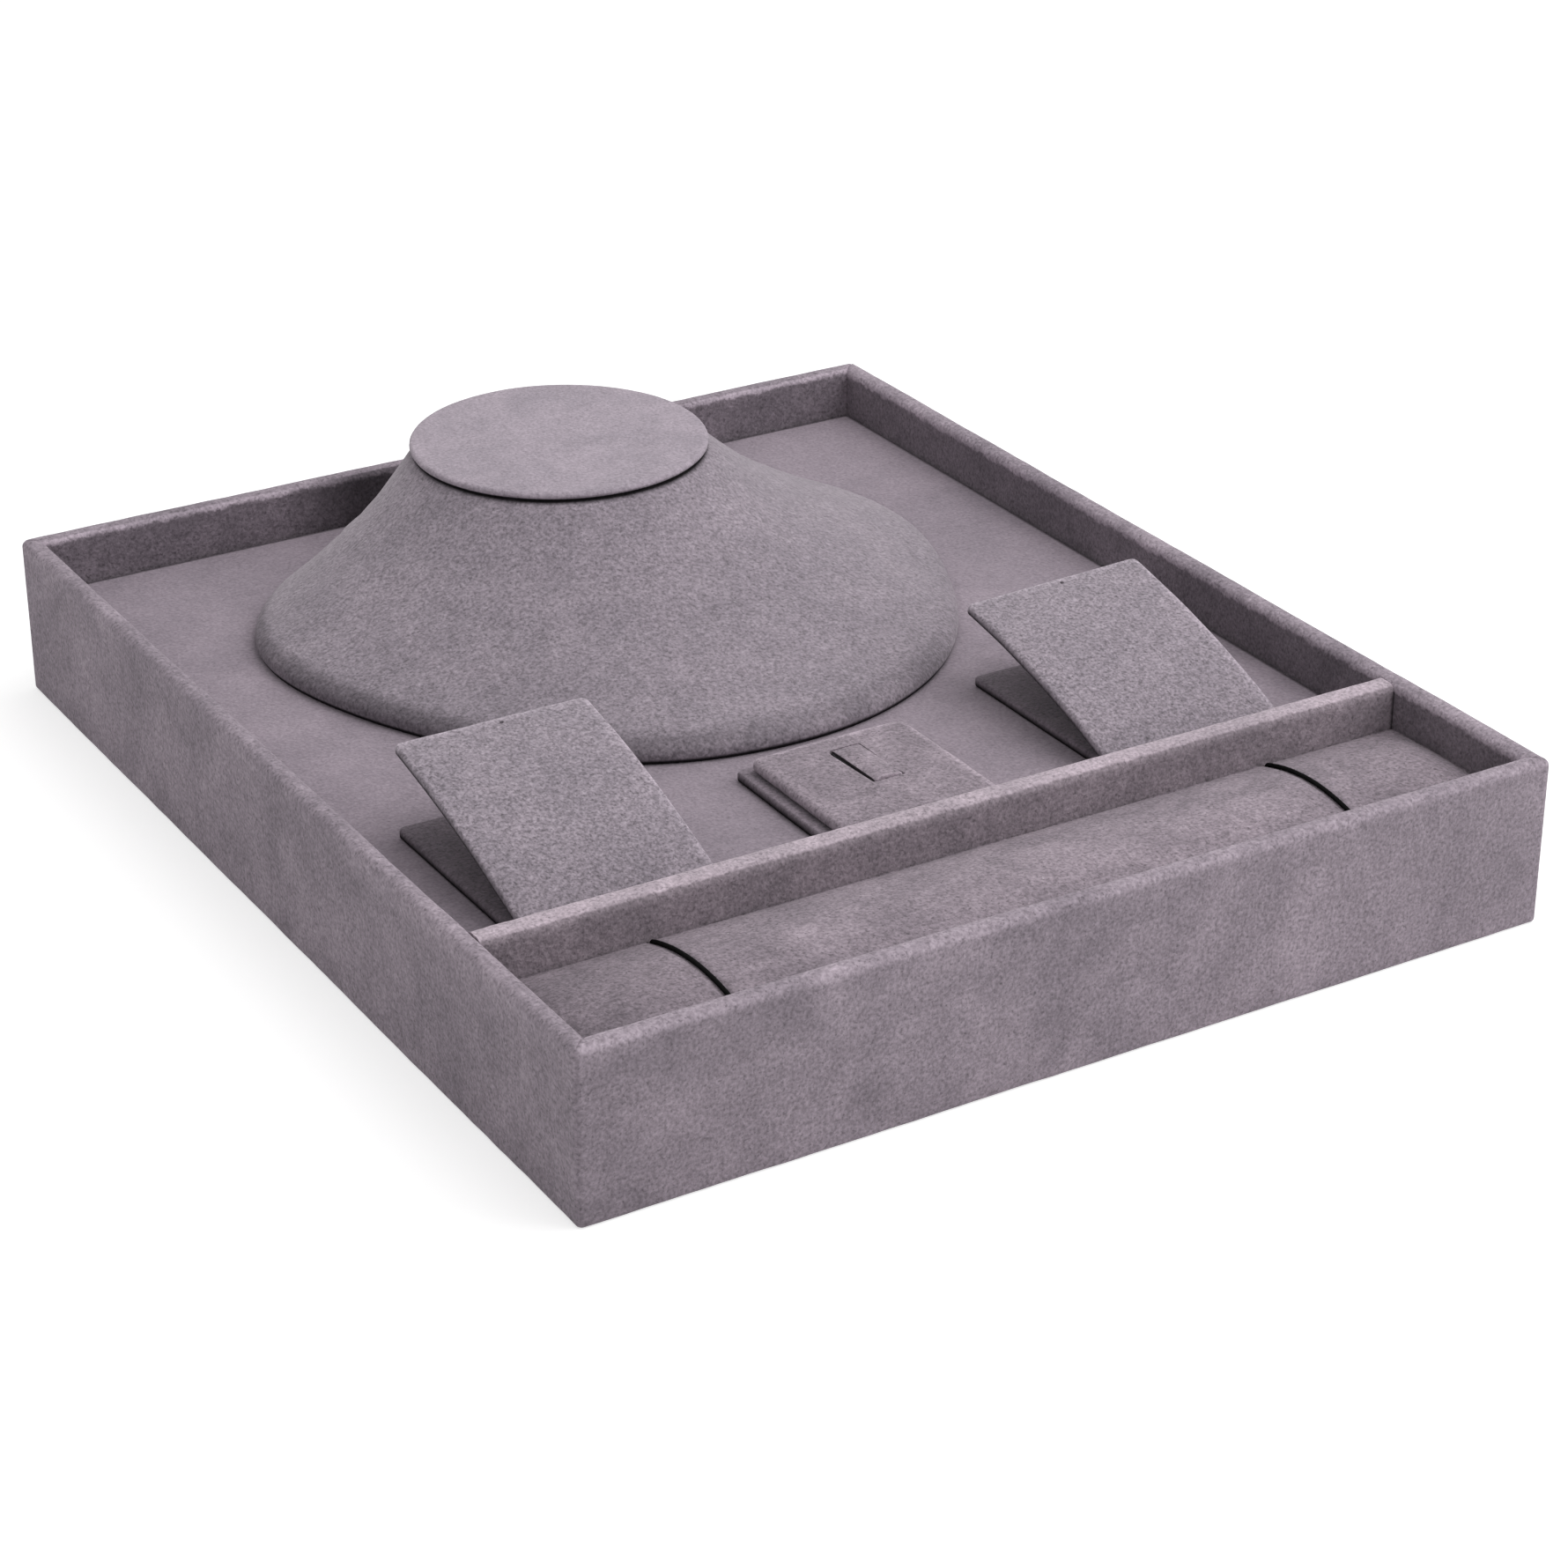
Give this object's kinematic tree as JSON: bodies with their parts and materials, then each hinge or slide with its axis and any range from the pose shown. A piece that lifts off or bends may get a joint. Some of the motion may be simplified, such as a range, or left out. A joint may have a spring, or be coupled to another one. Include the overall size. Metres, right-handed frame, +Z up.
{
  "type": "jewelry tray",
  "caption": "Shallow suede-covered display tray with a raised floor, a low necklace bust, ramp stands, a ring holder and a long bracelet pad in a front slot.",
  "frame": {"origin": "middle of the underside, on the surface that the tray stands on", "axes": "+X to the right along the front, +Y from the front slot to the back, +Z up"},
  "size_m": [0.3, 0.3572, 0.0779],
  "materials": {
    "suede": "brushed microfibre suede with a short nap, mauve grey",
    "padded_suede": "the same suede over soft padding",
    "floor_suede": "flat glued suede lining, smoother nap",
    "base_felt": "thin dark felt",
    "fibreboard": "raw medium-density fibreboard",
    "carved_wood": "carved softwood, sanded",
    "spring_card": "thin springy plastic card",
    "elastic_cord": "black round elastic"
  },
  "bodies": {
    "root": {"wall_core_front": "fibreboard", "wall_core_back": "fibreboard", "wall_core_left": "fibreboard", "wall_core_right": "fibreboard", "wall_cover_front": "suede", "wall_cover_back": "suede", "wall_cover_left": "suede", "wall_cover_right": "suede", "bottom_board": "fibreboard", "bottom_lining": "base_felt", "batten_left": "fibreboard", "batten_right": "fibreboard", "batten_divider": "fibreboard", "batten_middle": "fibreboard", "batten_back": "fibreboard", "floor_board": "fibreboard", "floor_lining_main": "floor_suede", "floor_lining_slot": "floor_suede", "divider_core": "fibreboard", "divider_cover": "suede"},
    "necklace_bust": {"bust_form": "carved_wood", "bust_cover": "suede", "bust_board": "fibreboard", "bust_lining": "base_felt", "neck_cap_board": "fibreboard", "neck_cap_cover": "suede"},
    "left_stand": {"left_stand_base_board": "fibreboard", "left_stand_base_cover": "suede", "left_stand_ramp_board": "fibreboard", "left_stand_ramp_cover": "suede"},
    "right_stand": {"right_stand_base_board": "fibreboard", "right_stand_base_cover": "suede", "right_stand_ramp_board": "fibreboard", "right_stand_ramp_cover": "suede"},
    "ring_holder": {"ring_base_board": "fibreboard", "ring_base_cover": "suede", "ring_pad": "padded_suede"},
    "ring_tongue": {"ring_tongue_board": "spring_card", "ring_tongue_cover": "suede"},
    "bracelet_pad": {"bracelet_board": "fibreboard", "bracelet_cushion": "padded_suede", "bracelet_cord_left": "elastic_cord", "bracelet_cord_right": "elastic_cord"}
  },
  "joints": [
    {"name": "bust_lift", "type": "slide", "parent": "root", "child": "necklace_bust", "axis": [0, 0, 1], "range_m": [0, 0.06]},
    {"name": "left_stand_lift", "type": "slide", "parent": "root", "child": "left_stand", "axis": [0, 0, 1], "range_m": [0, 0.05]},
    {"name": "right_stand_lift", "type": "slide", "parent": "root", "child": "right_stand", "axis": [0, 0, 1], "range_m": [0, 0.05]},
    {"name": "ring_holder_lift", "type": "slide", "parent": "root", "child": "ring_holder", "axis": [0, 0, 1], "range_m": [0, 0.04]},
    {"name": "bracelet_pad_lift", "type": "slide", "parent": "root", "child": "bracelet_pad", "axis": [0, 0, 1], "range_m": [0, 0.03]},
    {"name": "ring_tongue_flex", "type": "hinge", "parent": "ring_holder", "child": "ring_tongue", "pos_m": [-0.00085, -0.0583, 0.04105], "axis": [-1, 0, 0], "range_deg": [-3, 20], "stiffness_Nm_per_rad": 0.05}
  ]
}
